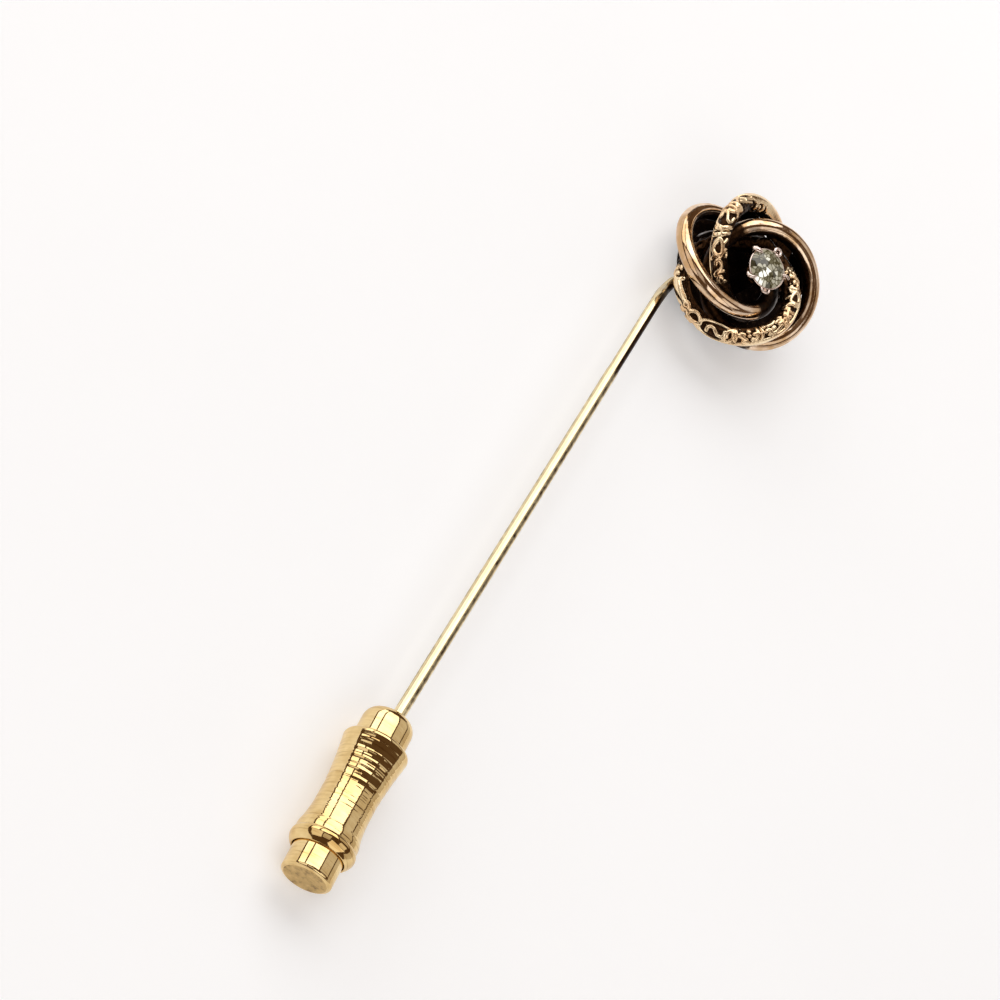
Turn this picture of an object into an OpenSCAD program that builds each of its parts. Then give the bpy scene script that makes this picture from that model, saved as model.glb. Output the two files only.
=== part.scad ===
// Stick pin: a knot of four interlinked rings round a claw-set stone, on a
// straight shank, with a barrel clutch on the point.
// Millimetres. The pin lies on its side on the plane z = 0: the shank runs
// along X, the point and the clutch at -X, the knot at +X facing up.

/* [Shank] */
// Diameter of the straight shank
shank_d = 0.95; // [0.80:0.01:1.05]
// Length from the point to the first bend
shank_len = 54.60; // [54.00:0.05:55.00]
// Length of the sharp point
point_len = 3.0; // [2.0:0.1:4.0]
// Diameter at the end of the sharp point
point_d = 0.80; // [0.60:0.01:0.80]
// Length of the slow taper behind the sharp point
taper_len = 9.6; // [6.0:0.1:9.8]
// Where the shank steps down, from the point
step_x = 46.4; // [40.0:0.1:49.0]
// Diameter of the thinner neck above the step
neck_d = 0.86; // [0.81:0.01:0.90]
// Diameter of the foot that lies across the back of the knot
foot_d = 0.80; // [0.74:0.01:0.80]

/* [Plain rings] */
// Radius of a plain ring, to the middle of its wire
plain_r = 4.46; // [4.44:0.01:4.50]
// Wire diameter of a plain ring
plain_d = 1.34; // [1.10:0.01:1.34]
// How far a plain ring's centre sits from the knot's axis
plain_off = 1.63; // [1.60:0.01:1.66]
// How far a plain ring leans out of the knot's plane, degrees
plain_tilt = 19.0; // [18.6:0.1:19.2]

/* [Chased rings] */
// Radius of a chased ring, to the middle of its wire
chased_r = 4.32; // [4.30:0.01:4.34]
// Wire diameter of a chased ring
chased_d = 1.43; // [1.20:0.01:1.43]
// How far a chased ring's centre sits from the knot's axis
chased_off = 1.47; // [1.46:0.01:1.50]
// How far a chased ring leans out of the knot's plane, degrees
chased_tilt = 25.6; // [25.4:0.1:26.0]

/* [Knot] */
// Height of the knot's centre over the plane it lies on
knot_h = 3.66; // [3.66:0.01:3.80]
// Turn of the knot about its own axis, degrees
knot_turn = -80.6; // [-81.5:0.1:-80.0]
// How far the knot leans back towards the clutch, degrees
knot_lean = 2.3; // [1.5:0.1:2.5]
// Diameter of the plate under the knot
base_d = 8.3; // [7.8:0.1:8.5]
// Thickness of the plate under the knot
base_t = 0.26; // [0.22:0.01:0.28]
// Diameter of the post between the plate and the claws
post_d = 1.5; // [1.0:0.1:1.8]

/* [Stone and claws] */
// Diameter of the stone
stone_d = 3.12; // [3.00:0.02:3.20]
// Height of the stone's girdle over the knot's centre
stone_h = 2.66; // [2.50:0.02:2.80]
// How far the stone sits off the knot's axis
stone_off = 0.48; // [0.30:0.01:0.50]
// Which way the stone sits off the axis, degrees
stone_dir = -36; // [-50:1:-20]
// Turn of the claws, degrees
claw_turn = 0; // [-6:1:6]
// Wire diameter of a claw
claw_d = 0.44; // [0.36:0.01:0.46]

/* [Clutch] */
// Diameter of the lip and the rim of the sleeve
rim_d = 4.90; // [4.86:0.01:4.96]
// Diameter of the sleeve's waist
waist_d = 4.02; // [4.00:0.01:4.10]
// Distance from the plug's face to the sleeve's lower edge
sleeve_lo = 1.95; // [1.80:0.05:2.00]
// Distance from the plug's face to the sleeve's upper edge
sleeve_hi = 11.18; // [11.14:0.01:11.30]
// Whole length of the clutch's core
core_len = 13.7; // [13.5:0.1:14.2]
// Diameter of the core's plug
plug_d = 3.76; // [3.70:0.01:3.78]
// Diameter of the core's nose
nose_d = 3.80; // [3.74:0.01:3.82]
// Diameter of the core's shaft inside the sleeve
shaft_d = 3.10; // [2.80:0.01:3.10]
// Gap between shaft and sleeve, on the radius
slide_gap = 0.05; // [0.04:0.01:0.06]
// How far the sleeve can slide back on the core
slide_travel = 1.5; // [1.0:0.1:1.5]
// Diameter of the hole that takes the pin
hole_d = 1.64; // [1.60:0.01:1.74]
// Diameter of the hole's mouth in the nose
mouth_d = 2.06; // [2.00:0.01:2.10]
// How far the clutch sits askew on the shank, degrees
clutch_skew = 3.34; // [3.00:0.01:3.50]

/* [Hidden] */
$fn = 96;

// The middle of the whole pin's outline, in the pin's own axes, where the
// point is at x = 0 and the shank's axis at y = 0.
mid_x = 32.950;
mid_y = -4.295;

axis_h = rim_d / 2;                 // height of the shank's axis
knot_x = 61.227;                   // knot centre, from the point
knot_y = -4.441;                    // knot centre, beside the shank's axis
skew_in = -5.2;                     // turn of each ring about its own centre
chased_drop = -0.07;                // chased rings sit a little lower
clutch_x = -1.72;                   // middle of the plug's face
clutch_y = -0.493;

ball_more = 0.05;                   // a corner ball is this much thicker

// Corners of the wire's centre line
c1 = [shank_len, 0, axis_h];
c2 = [56.90, -0.70, 0.75];
c3 = [58.51, -1.10, (foot_d + ball_more) / 2];
c4 = [63.90, -7.30, (foot_d + ball_more) / 2];

function unit(v) = v / norm(v);

// Rigid frame with its origin at o, third axis along z, first axis along x
module frame_at(o, x, z) {
    y = cross(z, x);
    multmatrix([[x[0], y[0], z[0], o[0]],
                [x[1], y[1], z[1], o[1]],
                [x[2], y[2], z[2], o[2]],
                [0, 0, 0, 1]]) children();
}

// A straight or tapered rod from a to b
module rod(a, b, d1, d2) {
    z = unit(b - a);
    h = abs(z[2]) > 0.9 ? [1, 0, 0] : [0, 0, 1];
    x = unit(cross(h, z));
    frame_at(a, x, z) cylinder(h = norm(b - a), d1 = d1, d2 = d2);
}

// Wire through a list of points, with a ball at each corner
module wire(points, d) {
    n = len(points) - 1;
    for (i = [0 : n - 1]) rod(points[i], points[i + 1], d, d);
    for (i = [1 : n - 1])
        corner_ball(points[i], unit(points[i - 1] - points[i]),
                    unit(points[i + 1] - points[i]), d + ball_more);
    end_ball(points[0], unit(points[1] - points[0]), d + ball_more);
    end_ball(points[n], unit(points[n - 1] - points[n]), d + ball_more);
}

// Ball at a corner: its poles stand off the plane of the bend and its seam
// is on the outer side. a, b = directions of the two rods
module corner_ball(p, a, b, d) {
    frame_at(p, -unit(a + b), unit(cross(a, b))) sphere(d = d);
}

// Ball at an end: its seam points away from the rod, along a
module end_ball(p, a, d) {
    h = abs(a[2]) > 0.9 ? [1, 0, 0] : [0, 0, 1];
    frame_at(p, -a, unit(h - (h * a) * a)) sphere(d = d);
}

module in_place() { translate([-mid_x, -mid_y, 0]) children(); }

module stem() {
    color("khaki") in_place() union() {
        translate([0, 0, axis_h]) rotate([0, 90, 0]) rotate_extrude() polygon([
            [0, 0], [0.06, 0], [point_d / 2, point_len],
            [shank_d / 2, point_len + taper_len],
            [shank_d / 2, step_x], [neck_d / 2, step_x + 0.8],
            [neck_d / 2, shank_len - 1.8],
            [foot_d / 2, shank_len - 0.6], [foot_d / 2, shank_len],
            [0, shank_len]]);
        wire([c1, c2, c3, c4], foot_d);
    }
}

// ---- The knot, in its own axes: rings round Z, the stone at +Z ----
module in_knot() {
    in_place() translate([knot_x, knot_y, knot_h])
        rotate([0, -knot_lean, 0]) rotate([0, 0, knot_turn]) children();
}

// One leaning ring of the knot. side = where its centre lies, degrees
module ring(side, r, d, off, tilt, drop) {
    in_knot() rotate([0, 0, side]) translate([off, 0, drop])
        rotate([0, 0, skew_in]) rotate([tilt, 0, 0])
            rotate_extrude() translate([r, 0]) circle(d = d);
}

module ring_plain_left() {
    color("rosybrown") ring(180, plain_r, plain_d, plain_off, plain_tilt, 0);
}
module ring_plain_right() {
    color("rosybrown") ring(0, plain_r, plain_d, plain_off, plain_tilt, 0);
}
module ring_chased_top() {
    color("goldenrod")
        ring(90, chased_r, chased_d, chased_off, chased_tilt, chased_drop);
}
module ring_chased_bottom() {
    color("goldenrod")
        ring(270, chased_r, chased_d, chased_off, chased_tilt, chased_drop);
}

base_z = -2.66;                     // underside of the plate
basket_z = stone_h - 1.85;          // underside of the claws' basket
back_r = 5.15;                      // thin back sheet under the plate
back_off = 0.95;                    // how far its middle is off the axis
back_dir = 62;                      // and which way, degrees

module to_stone() {
    in_knot() rotate([0, 0, stone_dir]) translate([stone_off, 0, 0])
        rotate([0, 0, -stone_dir]) children();
}

module knot_base() {
    color("saddlebrown") difference() {
        plate_and_post();
        // room for the low sides of the two chased rings
        for (side = [90, 270])
            ring(side, chased_r, chased_d + 0.14, chased_off, chased_tilt, chased_drop);
    }
}

// Walls on the plate's far side, behind the gaps between the rings.
// Each row: [from, to (degrees round the back sheet's middle), top, how far
// its inner face is inside the sheet's edge]
walls = [[10, 50, -0.10, 0.19], [89, 124, -1.20, 0.19],
         [102, 122, -0.54, 0.30], [96.5, 103, -0.82, 0.27]];
module plate_and_post() {
    union() {
        in_knot() rotate_extrude() polygon([
            [0, base_z + 0.05], [base_d / 2 - 0.08, base_z + 0.05],
            [base_d / 2, base_z + 0.10],
            [base_d / 2, base_z + base_t],
            [0, base_z + base_t]]);
        in_knot() rotate([0, 0, back_dir]) translate([back_off, 0, 0])
            rotate([0, 0, -back_dir]) {
                translate([0, 0, base_z]) cylinder(h = 0.12, r = back_r);
                for (w = walls) rotate([0, 0, w[0]])
                    rotate_extrude(angle = w[1] - w[0])
                        translate([back_r - w[3], base_z + 0.06])
                            square([0.14, w[2] - base_z - 0.06]);
            }
        to_stone() translate([0, 0, base_z + base_t / 2])
            cylinder(h = basket_z - base_z - base_t / 2 - 0.03, d = post_d);
    }
}

// Claw basket: a cup on the post and the claws.
// Each row: [direction round the stone in degrees]
claws = [[11], [82], [149], [229], [288]];
claw_foot_r = 0.62;                 // where a claw starts, from its axis
claw_top_r = stone_d / 2 + claw_d / 2 - 0.02;
module claw_setting() {
    color("mistyrose") to_stone() union() {
        translate([0, 0, basket_z]) cylinder(h = 0.45, d1 = post_d, d2 = 1.7);
        for (c = claws) rotate([0, 0, claw_turn + c[0]]) {
            rod([claw_foot_r, 0, basket_z + 0.2],
                [claw_top_r, 0, stone_h + 0.02], claw_d, claw_d);
            translate([claw_top_r, 0, stone_h + 0.02]) sphere(d = claw_d);
            translate([claw_top_r - 0.10, 0, stone_h + 0.20])
                sphere(d = claw_d);
        }
    }
}

// Round stone: table, crown, girdle and pavilion
table_d = stone_d * 0.52;
crown_h = 0.46;
girdle_t = 0.08;
pavilion_h = 1.15;
module stone() {
    color("whitesmoke") difference() {
        to_stone() rotate_extrude() polygon([
            [0, stone_h - girdle_t / 2 - pavilion_h],
            [0.12, stone_h - girdle_t / 2 - pavilion_h],
            [stone_d / 2, stone_h - girdle_t / 2],
            [stone_d / 2, stone_h + girdle_t / 2],
            [table_d / 2, stone_h + girdle_t / 2 + crown_h],
            [0, stone_h + girdle_t / 2 + crown_h]]);
        to_stone() for (c = claws)
            rotate([0, 0, claw_turn + c[0]]) {
                rod([claw_foot_r, 0, basket_z + 0.2],
                    [claw_top_r, 0, stone_h + 0.02],
                    claw_d + 0.06, claw_d + 0.06);
                translate([claw_top_r, 0, stone_h + 0.02])
                    sphere(d = claw_d + 0.06);
                translate([claw_top_r - 0.10, 0, stone_h + 0.20])
                    sphere(d = claw_d + 0.06);
            }
    }
}

// ---- The clutch, along its own axis: 0 at the plug's face ----
module on_clutch() {
    in_place() translate([clutch_x, clutch_y, axis_h])
        rotate([0, 0, clutch_skew]) rotate([0, 90, 0]) children();
}

plug_top = sleeve_lo + 0.65;        // shoulder of the plug in the sleeve
low_floor = plug_top + slide_travel + 0.10;
high_floor = 9.80;                  // shoulder of the sleeve under the nose
nose_lo = high_floor + 0.10;
nose_round = 0.96;                  // height of the rounded nose

module clutch_core() {
    color("gold") on_clutch() rotate_extrude() polygon(concat(
        [[0, 0], [plug_d / 2 - 0.29, 0], [plug_d / 2 - 0.12, 0.05],
         [plug_d / 2, 0.18], [plug_d / 2, plug_top],
         [shaft_d / 2, plug_top], [shaft_d / 2, nose_lo],
         [nose_d / 2, nose_lo], [nose_d / 2, core_len - nose_round]],
        [for (a = [10 : 10 : 90])
            [mouth_d / 2 + 0.06 + (nose_d / 2 - mouth_d / 2 - 0.06) * cos(a),
             core_len - nose_round + nose_round * sin(a)]],
        [[mouth_d / 2, core_len], [hole_d / 2, core_len - 1.6],
         [hole_d / 2, 1.3], [0, 1.3]]));
}

// Outer radius of the sleeve at distance t from the plug's face
lip_t = 2.71;                       // widest point of the lip
ridge_t = 3.00;                     // ridge behind the lip
ridge_end = 3.56;                   // where the flare to the waist starts
waist_t = 6.80;                     // narrowest point
rim_t = 10.89;                      // widest point of the upper rim
function sleeve_r(t) =
    t <= lip_t ? rim_d / 2 - 0.42 * pow((lip_t - t) / 0.76, 2) :
    t <= ridge_t ? rim_d / 2 - 0.13 * pow((t - lip_t) / (ridge_t - lip_t), 2) :
    t <= ridge_end ? rim_d / 2 - 0.13 - 0.02 * (t - ridge_t) :
    t <= waist_t ? waist_d / 2 + (rim_d / 2 - 0.141 - waist_d / 2)
        * pow((waist_t - t) / (waist_t - ridge_end), 3) :
    t <= rim_t ? waist_d / 2 + (rim_d - waist_d) / 2 * pow((t - waist_t) / (rim_t - waist_t), 1.6) :
    rim_d / 2 - 0.16 + 0.16 * sqrt(max(0, 1 - pow((t - rim_t) / (sleeve_hi - rim_t), 2)));

module clutch_sleeve() {
    lips = [for (t = [sleeve_lo : 0.152 : 2.72]) t];
    body = [2.86, 3.0, 3.56, 3.72, 3.88, 4.06, 4.26, 4.50];
    waist = [for (t = [4.9 : 0.5 : 10.4]) t];
    rims = [rim_t - 0.2, rim_t, rim_t + 0.12, rim_t + 0.22, sleeve_hi];
    color("gold") on_clutch() rotate_extrude() polygon(concat(
        [for (t = concat(lips, body, waist, rims)) [sleeve_r(t), t]],
        [[nose_d / 2 + 0.06, sleeve_hi], [nose_d / 2 + 0.06, high_floor],
         [shaft_d / 2 + slide_gap, high_floor],
         [shaft_d / 2 + slide_gap, low_floor],
         [plug_d / 2 + 0.06, low_floor], [plug_d / 2 + 0.06, sleeve_lo]]));
}

stem();
ring_plain_left();
ring_plain_right();
ring_chased_top();
ring_chased_bottom();
knot_base();
claw_setting();
stone();
clutch_core();
clutch_sleeve();
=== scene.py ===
import math

import bpy
import numpy as np
from mathutils import Matrix, Vector


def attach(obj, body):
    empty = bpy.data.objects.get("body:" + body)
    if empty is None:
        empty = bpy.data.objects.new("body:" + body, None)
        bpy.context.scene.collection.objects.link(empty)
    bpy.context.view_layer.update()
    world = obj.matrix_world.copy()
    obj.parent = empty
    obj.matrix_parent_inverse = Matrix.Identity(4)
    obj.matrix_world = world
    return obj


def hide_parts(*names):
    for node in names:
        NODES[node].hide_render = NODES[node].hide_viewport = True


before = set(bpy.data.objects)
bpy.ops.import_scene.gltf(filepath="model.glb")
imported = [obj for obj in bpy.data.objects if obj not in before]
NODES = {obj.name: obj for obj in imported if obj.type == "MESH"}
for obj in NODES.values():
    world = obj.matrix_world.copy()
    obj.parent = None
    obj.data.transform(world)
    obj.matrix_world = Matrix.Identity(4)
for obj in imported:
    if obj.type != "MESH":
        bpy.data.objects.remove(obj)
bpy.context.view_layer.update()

MM = 0.001

# Sizes in millimetres, the same as the construction's.
MID = np.array([32.950, -4.295, 0.0])
AXIS_H = 2.45
KNOT = np.array([61.227, -4.441, 3.66])
KNOT_TURN, KNOT_LEAN, SKEW_IN = -80.6, 2.3, -5.2
PLAIN = dict(r=4.46, d=1.34, off=1.63, tilt=19.0, drop=0.0)
CHASED = dict(r=4.32, d=1.43, off=1.47, tilt=25.6, drop=-0.07)
STONE_D, STONE_H, STONE_OFF, STONE_DIR = 3.12, 2.66, 0.48, -36.0
CLUTCH = np.array([-1.72, -0.493, AXIS_H])
CLUTCH_SKEW = 3.34


# ------------------------------------------------------------------ camera
def turn(axis, degrees):
    return np.array(Matrix.Rotation(math.radians(degrees), 3, axis))


def make_camera():
    rotvec = Vector((0.0173433, 0.6715574, 0.8772891))
    rot = Matrix.Rotation(rotvec.length, 3, rotvec.normalized())
    shift = Vector((-15.083083, -26.171943, -218.934033))
    place = -(rot.transposed() @ shift) - Vector((MID[0] + 2.6, MID[1], 0.0))
    data = bpy.data.cameras.new("camera")
    data.sensor_fit = "HORIZONTAL"
    data.sensor_width = 36.0
    data.lens = 3.2693768 * 36.0
    data.clip_start = 0.01
    data.clip_end = 20.0
    cam = bpy.data.objects.new("camera", data)
    bpy.context.scene.collection.objects.link(cam)
    cam.matrix_world = Matrix.Translation(place * MM) @ rot.transposed().to_4x4()
    bpy.context.scene.camera = cam


make_camera()


# ------------------------------------------------------------------ meshes
def new_object(name, verts, faces, smooth=True, values=None):
    """An object from points in millimetres in the row frame. values: name -> one number per point."""
    mesh = bpy.data.meshes.new(name)
    mesh.from_pydata((np.asarray(verts, float) * MM).tolist(), [], faces)
    mesh.polygons.foreach_set("use_smooth", [smooth] * len(mesh.polygons))
    for key, numbers in (values or {}).items():
        layer = mesh.attributes.new(key, "FLOAT", "POINT")
        layer.data.foreach_set("value", np.asarray(numbers, np.float32).ravel())
    mesh.validate()
    mesh.update()
    obj = bpy.data.objects.new(name, mesh)
    bpy.context.scene.collection.objects.link(obj)
    return obj


def grid_faces(nu, nv, wrap_u=True, wrap_v=True):
    """Quads of a grid of nu by nv points, point (i, j) at index i * nv + j."""
    i = np.arange(nu if wrap_u else nu - 1)
    j = np.arange(nv if wrap_v else nv - 1)
    i, j = np.meshgrid(i, j, indexing="ij")
    i2, j2 = (i + 1) % nu, (j + 1) % nv
    f = np.stack([i * nv + j, i2 * nv + j, i2 * nv + j2, i * nv + j2], -1)
    return f.reshape(-1, 4).tolist()


def hermite(points, n):
    """Even points along a smooth curve through the given ones."""
    p = np.asarray(points, float)
    ext = np.vstack([2 * p[0] - p[1], p, 2 * p[-1] - p[-2]])
    out = []
    for k in range(len(p) - 1):
        a, b, c, d = ext[k:k + 4]
        for s in np.linspace(0, 1, 12, endpoint=False):
            out.append(0.5 * ((2 * b) + (-a + c) * s + (2 * a - 5 * b + 4 * c - d) * s ** 2
                              + (-a + 3 * b - 3 * c + d) * s ** 3))
    out.append(p[-1])
    out = np.array(out)
    run = np.r_[0, np.cumsum(np.linalg.norm(np.diff(out, axis=0), axis=1))]
    at = np.linspace(0, run[-1], n)
    return np.stack([np.interp(at, run, out[:, k]) for k in range(out.shape[1])], 1)


def tube(path, radii, sides=24, flat=None):
    """Verts and faces of a closed round rod along a path, ends drawn to a point.
    flat: optional squash factor per point, along the frame's second axis."""
    path = np.asarray(path, float)
    radii = np.broadcast_to(np.asarray(radii, float), (len(path),)).copy()
    tang = np.gradient(path, axis=0)
    tang /= np.linalg.norm(tang, axis=1)[:, None]
    up = np.array([0.0, 0.0, 1.0]) if abs(tang[0][2]) < 0.9 else np.array([1.0, 0.0, 0.0])
    side = np.cross(up, tang[0])
    side /= np.linalg.norm(side)
    verts = []
    ang = np.linspace(0, 2 * math.pi, sides, endpoint=False)
    for k in range(len(path)):
        side = side - tang[k] * (side @ tang[k])
        side /= np.linalg.norm(side)
        other = np.cross(tang[k], side)
        sq = 1.0 if flat is None else flat[k]
        ring = path[k] + radii[k] * (np.cos(ang)[:, None] * side + sq * np.sin(ang)[:, None] * other)
        verts.append(ring)
    verts = np.concatenate(verts)
    faces = grid_faces(len(path), sides, wrap_u=False, wrap_v=True)
    n = len(verts)
    verts = np.vstack([verts, path[0], path[-1]])
    last = (len(path) - 1) * sides
    for j in range(sides):
        j2 = (j + 1) % sides
        faces.append([n, j, j2][::-1])
        faces.append([n + 1, last + j, last + j2])
    return verts, [list(f)[::-1] for f in faces]


def dome_ends(length, radius, n=7):
    """Positions along a rod, and radii, for round ends."""
    a = np.linspace(0, math.pi / 2, n)
    start = radius * (1 - np.cos(a))
    size = radius * np.sin(a)
    return start, size


# ------------------------------------------------------------------ places
def in_knot(points):
    """From the knot's own axes to the row frame."""
    m = turn("Y", -KNOT_LEAN) @ turn("Z", KNOT_TURN)
    return np.asarray(points, float) @ m.T + KNOT - MID


def ring_frame(side, spec):
    m = turn("Z", side + SKEW_IN) @ turn("X", spec["tilt"])
    c = turn("Z", side) @ np.array([spec["off"], 0, spec["drop"]])
    return m, c


def on_clutch(t, r, phi):
    """A point by distance from the plug's face, radius, and angle round the clutch's axis."""
    a = math.radians(CLUTCH_SKEW)
    u = np.array([math.cos(a), math.sin(a), 0])
    w = np.array([-math.sin(a), math.cos(a), 0])
    z = np.array([0, 0, 1.0])
    t, r, phi = np.broadcast_arrays(t, r, phi)
    return (CLUTCH - MID + t[..., None] * u
            + (r * np.cos(phi))[..., None] * w + (r * np.sin(phi))[..., None] * z)


def smooth_step(lo, hi, x):
    s = np.clip((x - lo) / (hi - lo), 0, 1)
    return s * s * (3 - 2 * s)


rng = np.random.default_rng(7)


def waves(x, period, count, amplitude, seed):
    """A smooth random line that repeats after period."""
    g = np.random.default_rng(seed)
    out = np.zeros_like(x, float)
    for k in range(1, count + 1):
        out += g.normal() / k ** 0.7 * np.sin(2 * math.pi * k * x / period + g.uniform(0, 6.28))
    return amplitude * out


# ------------------------------------------------------------------ materials
def nodes_of(name):
    mat = bpy.data.materials.new(name)
    mat.use_nodes = True
    nt = mat.node_tree
    return mat, nt, nt.nodes["Principled BSDF"]


def add(nt, kind, **values):
    node = nt.nodes.new(kind)
    for key, value in values.items():
        if hasattr(node, key):
            setattr(node, key, value)
        else:
            node.inputs[key.replace("_", " ")].default_value = value
    return node


def noise(nt, scale, detail=4.0, rough=0.55, stretch=None):
    """Noise in object space. scale is in features per millimetre."""
    co = add(nt, "ShaderNodeTexCoord")
    mp = add(nt, "ShaderNodeMapping")
    s = scale / MM
    mp.inputs["Scale"].default_value = tuple(s * k for k in (stretch or (1, 1, 1)))
    nt.links.new(co.outputs["Object"], mp.inputs["Vector"])
    n = add(nt, "ShaderNodeTexNoise")
    n.inputs["Scale"].default_value = 1.0
    n.inputs["Detail"].default_value = detail
    n.inputs["Roughness"].default_value = rough
    nt.links.new(mp.outputs["Vector"], n.inputs["Vector"])
    return n


def ramp(nt, source, stops):
    r = add(nt, "ShaderNodeValToRGB")
    el = r.color_ramp.elements
    while len(el) < len(stops):
        el.new(0.5)
    for e, (pos, col) in zip(el, stops):
        e.position = pos
        e.color = (*col, 1.0) if len(col) == 3 else col
    nt.links.new(source, r.inputs["Fac"])
    return r


def ranged(nt, source, lo, hi, to_lo, to_hi):
    m = add(nt, "ShaderNodeMapRange")
    m.inputs["From Min"].default_value = lo
    m.inputs["From Max"].default_value = hi
    m.inputs["To Min"].default_value = to_lo
    m.inputs["To Max"].default_value = to_hi
    nt.links.new(source, m.inputs["Value"])
    return m


def mix_color(nt, fac, a, b, blend="MIX"):
    m = add(nt, "ShaderNodeMix")
    m.data_type = "RGBA"
    m.blend_type = blend
    for sock, val in ((m.inputs["Factor"], fac), (m.inputs[6], a), (m.inputs[7], b)):
        if isinstance(val, (int, float)):
            sock.default_value = val
        elif isinstance(val, tuple):
            sock.default_value = (*val, 1.0)
        else:
            nt.links.new(val, sock)
    return m.outputs[2]


def gold(name, light, deep, rough=(0.05, 0.16), bump=0.15, bump_scale=1.2, patina_and_shade=None, dull=None, edge=(0.30, 0.62),
         spread=(0.30, 0.70), lines=None, dull_color=None,
         patina_and_shade_color=((0.010, 0.0045, 0.002), (0.060, 0.026, 0.010))):
    """Polished gold with soft colour changes and fine dents; darkened where the point value for patina and painted
    shade is high, and a satin surface where the point value 'dull' is high."""
    mat, nt, bsdf = nodes_of(name)
    bsdf.inputs["Metallic"].default_value = 1.0
    tone = noise(nt, 0.55, 3.0)
    color = ramp(nt, tone.outputs["Fac"], [(spread[0], deep), (spread[1], light)]).outputs["Color"]
    if lines:
        # fine bands across the axis, some of them brown
        band = noise(nt, 1.0, 5.0, 0.6, stretch=lines)
        shade = ramp(nt, band.outputs["Fac"], [(0.32, (0.72, 0.62, 0.50)), (0.42, (0.93, 0.91, 0.88)), (0.58, (1.0, 1.0, 1.0))])
        color = mix_color(nt, 1.0, color, shade.outputs["Color"], "MULTIPLY")
    grain = noise(nt, 6.0, 5.0)
    ro = ranged(nt, grain.outputs["Fac"], 0.3, 0.75, rough[0], rough[1]).outputs["Result"]
    if patina_and_shade:
        at = add(nt, "ShaderNodeAttribute", attribute_name=patina_and_shade)
        blot = noise(nt, 3.0, 4.0)
        wob = ranged(nt, blot.outputs["Fac"], 0.3, 0.7, -0.12, 0.12)
        s = add(nt, "ShaderNodeMath", operation="ADD")
        nt.links.new(at.outputs["Fac"], s.inputs[0])
        nt.links.new(wob.outputs["Result"], s.inputs[1])
        dark = ranged(nt, s.outputs[0], edge[0], edge[1], 0.0, 1.0).outputs["Result"]
        pc = ramp(nt, blot.outputs["Fac"], [(0.35, patina_and_shade_color[0]), (0.7, patina_and_shade_color[1])]).outputs["Color"]
        color = mix_color(nt, dark, color, pc)
        r2 = add(nt, "ShaderNodeMix")
        r2.data_type = "FLOAT"
        nt.links.new(dark, r2.inputs[0])
        nt.links.new(ro, r2.inputs[2])
        r2.inputs[3].default_value = 0.36
        ro = r2.outputs[0]
    if dull:
        at2 = add(nt, "ShaderNodeAttribute", attribute_name=dull)
        if dull_color:
            spots = noise(nt, 1.6, 6.0, 0.65)
            tint = ramp(nt, spots.outputs["Fac"], [(0.32, dull_color[0]), (0.48, dull_color[1]), (0.70, dull_color[2])])
            much = ranged(nt, at2.outputs["Fac"], 0.1, 0.6, 0.0, 1.0).outputs["Result"]
            color = mix_color(nt, much, color, tint.outputs["Color"])
        r3 = add(nt, "ShaderNodeMix")
        r3.data_type = "FLOAT"
        nt.links.new(at2.outputs["Fac"], r3.inputs[0])
        nt.links.new(ro, r3.inputs[2])
        r3.inputs[3].default_value = 0.40
        ro = r3.outputs[0]
    nt.links.new(color, bsdf.inputs["Base Color"])
    nt.links.new(ro, bsdf.inputs["Roughness"])
    dents = noise(nt, bump_scale, 2.0)
    fine = noise(nt, 14.0, 3.0)
    b1 = add(nt, "ShaderNodeBump")
    b1.inputs["Strength"].default_value = bump
    b1.inputs["Distance"].default_value = 0.03 * MM
    nt.links.new(dents.outputs["Fac"], b1.inputs["Height"])
    b2 = add(nt, "ShaderNodeBump")
    b2.inputs["Strength"].default_value = 0.25
    b2.inputs["Distance"].default_value = 0.0015 * MM
    nt.links.new(fine.outputs["Fac"], b2.inputs["Height"])
    nt.links.new(b1.outputs["Normal"], b2.inputs["Normal"])
    nt.links.new(b2.outputs["Normal"], bsdf.inputs["Normal"])
    return mat


MAT = {
    "pale_gold": gold("pale_gold", (0.86, 0.72, 0.44), (0.75, 0.60, 0.34), rough=(0.08, 0.17), bump=0.25, bump_scale=0.9,
                      patina_and_shade="patina_and_shade", dull="dull"),
    "rose_gold": gold("rose_gold", (0.90, 0.70, 0.52), (0.58, 0.36, 0.18), rough=(0.06, 0.15), bump=0.60, bump_scale=0.8,
                      patina_and_shade="patina_and_shade", dull="dull", spread=(0.38, 0.60)),
    "chased_gold": gold("chased_gold", (0.96, 0.77, 0.50), (0.84, 0.56, 0.31), rough=(0.15, 0.28), bump=0.6, bump_scale=2.0,
                        patina_and_shade="patina_and_shade", edge=(0.38, 0.64), spread=(0.36, 0.62)),
    "claw_metal": gold("claw_metal", (0.90, 0.76, 0.68), (0.78, 0.62, 0.54), rough=(0.14, 0.24), patina_and_shade="patina_and_shade"),
    "clutch_gilt": gold("clutch_gilt", (0.87, 0.66, 0.33), (0.72, 0.50, 0.21), rough=(0.040, 0.095), bump=0.20, bump_scale=1.1,
                        dull="dull", spread=(0.36, 0.62), lines=(4.6, 0.30, 0.30),
                        dull_color=((0.20, 0.11, 0.03), (0.56, 0.37, 0.13), (0.72, 0.50, 0.20))),
}


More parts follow.
